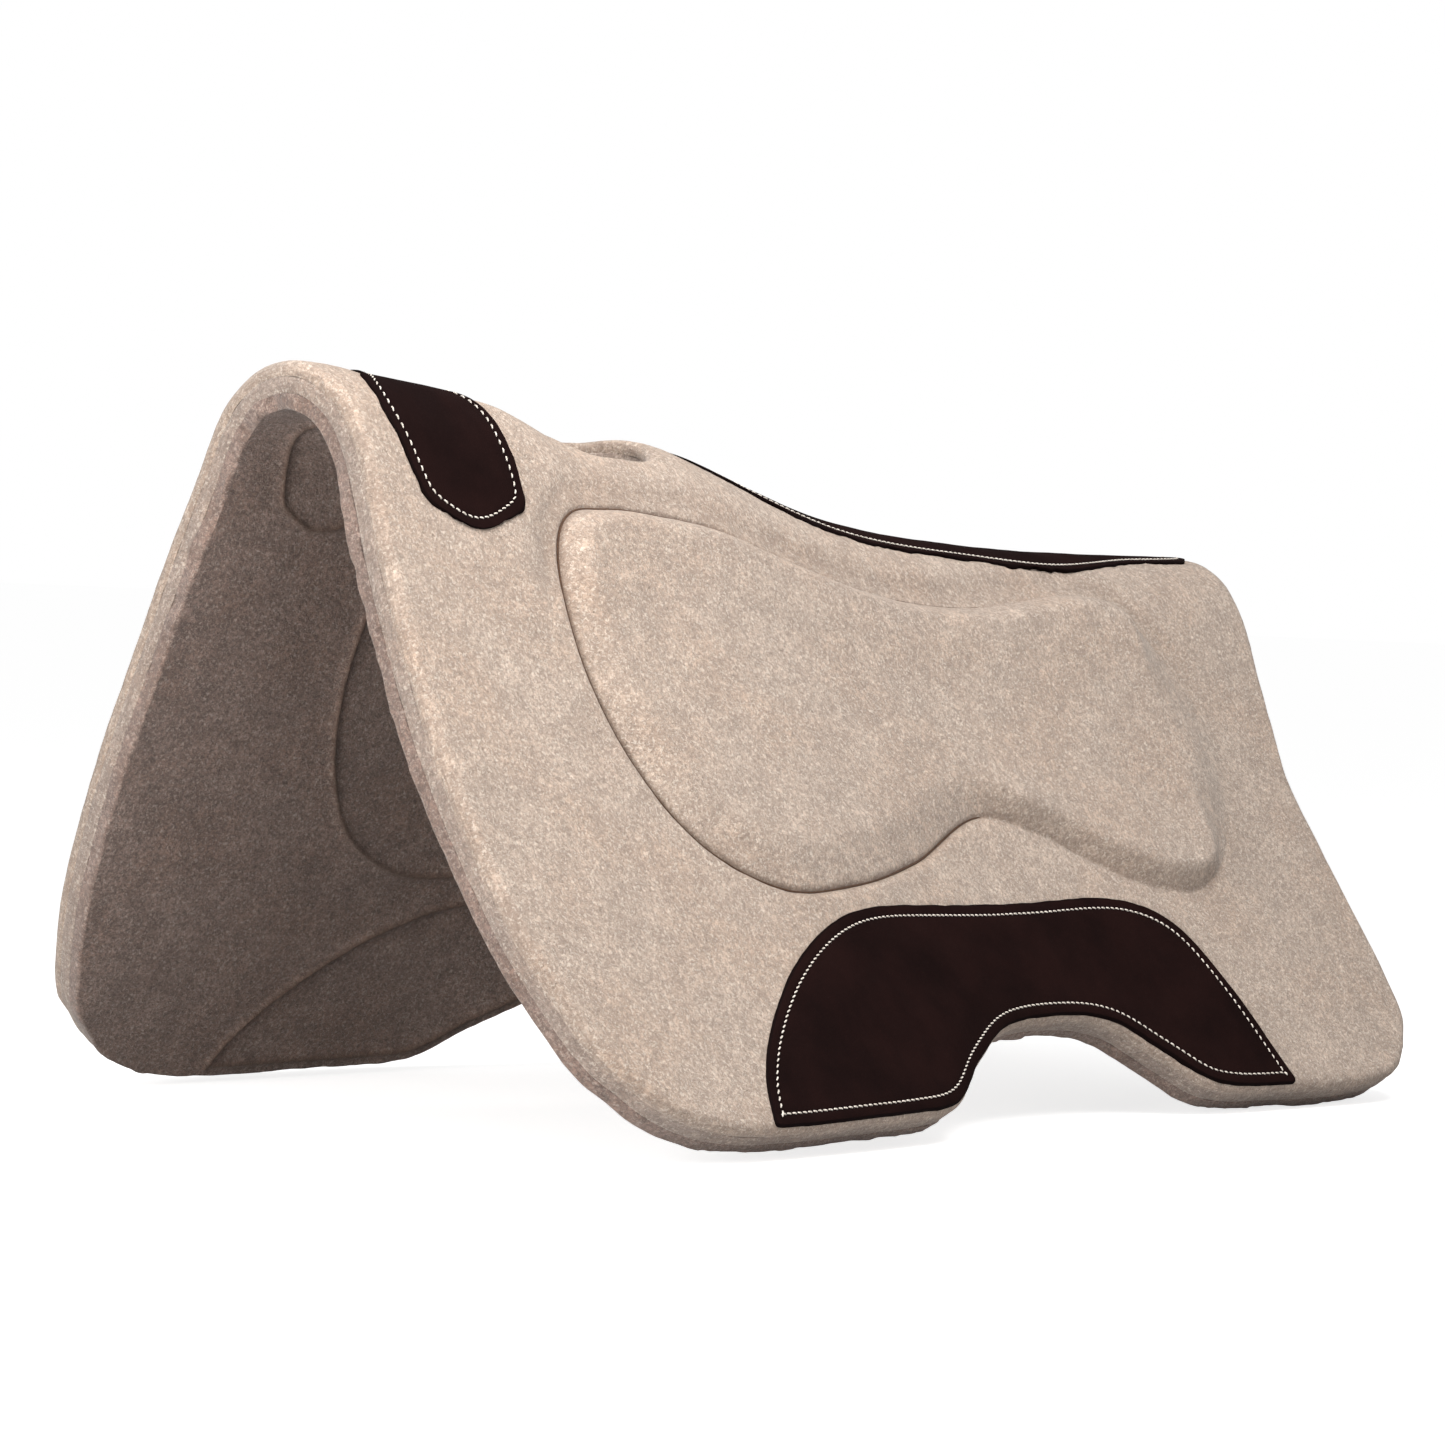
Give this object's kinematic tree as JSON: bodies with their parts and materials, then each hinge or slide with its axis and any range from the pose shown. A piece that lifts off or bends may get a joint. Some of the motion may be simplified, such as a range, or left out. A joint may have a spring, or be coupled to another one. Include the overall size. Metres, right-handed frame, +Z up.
{
  "type": "saddle pad",
  "caption": "Contoured western saddle pad of pressed wool felt that arches over a horse's back, with dark leather on the withers, spine and lower edges.",
  "frame": {"origin": "on the floor under the middle of the pad, which stands on the lower edges of its sides", "axes": "+X runs back along the spine, away from the withers; +Y is the right (off) side; +Z is up"},
  "size_m": [0.794, 0.4572, 0.4033],
  "materials": {
    "felt": "matte pressed wool felt with grey and brown flecks",
    "core_felt": "matte pressed wool felt, cut edge",
    "liner_felt": "matte pressed wool felt, brushed",
    "insert_felt": "matte dense felt shim",
    "seam_thread": "matte bonded thread",
    "leather": "smooth oiled dark brown leather, satin",
    "thread": "waxed off-white thread"
  },
  "bodies": {
    "spine": {"spine_outer_felt": "felt", "spine_core_felt": "core_felt", "spine_liner_felt": "liner_felt", "wither_patch": "leather", "wither_patch_stitching": "thread", "spine_strip": "leather", "spine_strip_stitching": "thread"},
    "left_side": {"left_outer_felt": "felt", "left_core_felt": "core_felt", "left_liner_felt": "liner_felt", "left_contour_insert": "insert_felt", "left_insert_seam": "seam_thread", "left_wear_leather": "leather", "left_wear_leather_stitching": "thread"},
    "right_side": {"right_outer_felt": "felt", "right_core_felt": "core_felt", "right_liner_felt": "liner_felt", "right_contour_insert": "insert_felt", "right_insert_seam": "seam_thread", "right_wear_leather": "leather", "right_wear_leather_stitching": "thread"}
  },
  "joints": [
    {"name": "left_side_flex", "type": "hinge", "parent": "spine", "child": "left_side", "pos_m": [0, -0.042, 0.30365], "axis": [-0.9942, 0, 0.1074], "range_deg": [-12, 8], "stiffness_Nm_per_rad": 200, "deforming": ["wither_patch", "wither_patch_stitching"]},
    {"name": "right_side_flex", "type": "hinge", "parent": "spine", "child": "right_side", "pos_m": [0, 0.042, 0.30365], "axis": [0.9942, 0, -0.1074], "range_deg": [-12, 8], "stiffness_Nm_per_rad": 200, "deforming": ["wither_patch", "wither_patch_stitching"]}
  ]
}
